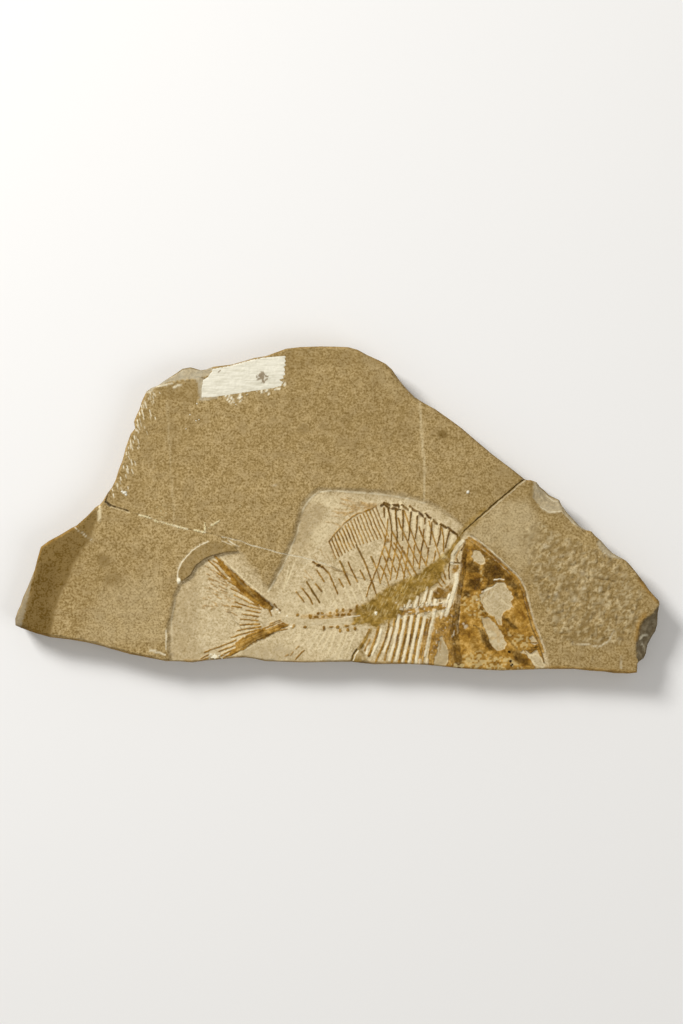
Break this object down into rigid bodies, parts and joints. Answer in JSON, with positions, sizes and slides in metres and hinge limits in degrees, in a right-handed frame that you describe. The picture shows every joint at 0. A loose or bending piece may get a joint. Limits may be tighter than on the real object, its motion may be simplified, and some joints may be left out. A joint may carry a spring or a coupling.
{
  "type": "fossil pycnodont fish",
  "caption": "Thin limestone slab with a deep-bodied fossil fish in low relief in a shallow prepared hollow, broken and glued together again.",
  "frame": {"origin": "middle of the slab's flat underside, halfway along its length and its width", "axes": "+X along the slab towards the fish's head, +Y towards the fish's back, +Z out of the face that shows the fish"},
  "size_m": [0.26, 0.132, 0.0145],
  "materials": {
    "limestone_upper": "matt tan limestone with ochre bone",
    "limestone_tail_side": "matt tan limestone with ochre bone",
    "limestone_head_side": "matt tan limestone with dark brown bone"
  },
  "bodies": {
    "root": {"slab_upper": "limestone_upper", "slab_tail_side": "limestone_tail_side", "slab_head_side": "limestone_head_side"}
  },
  "joints": []
}
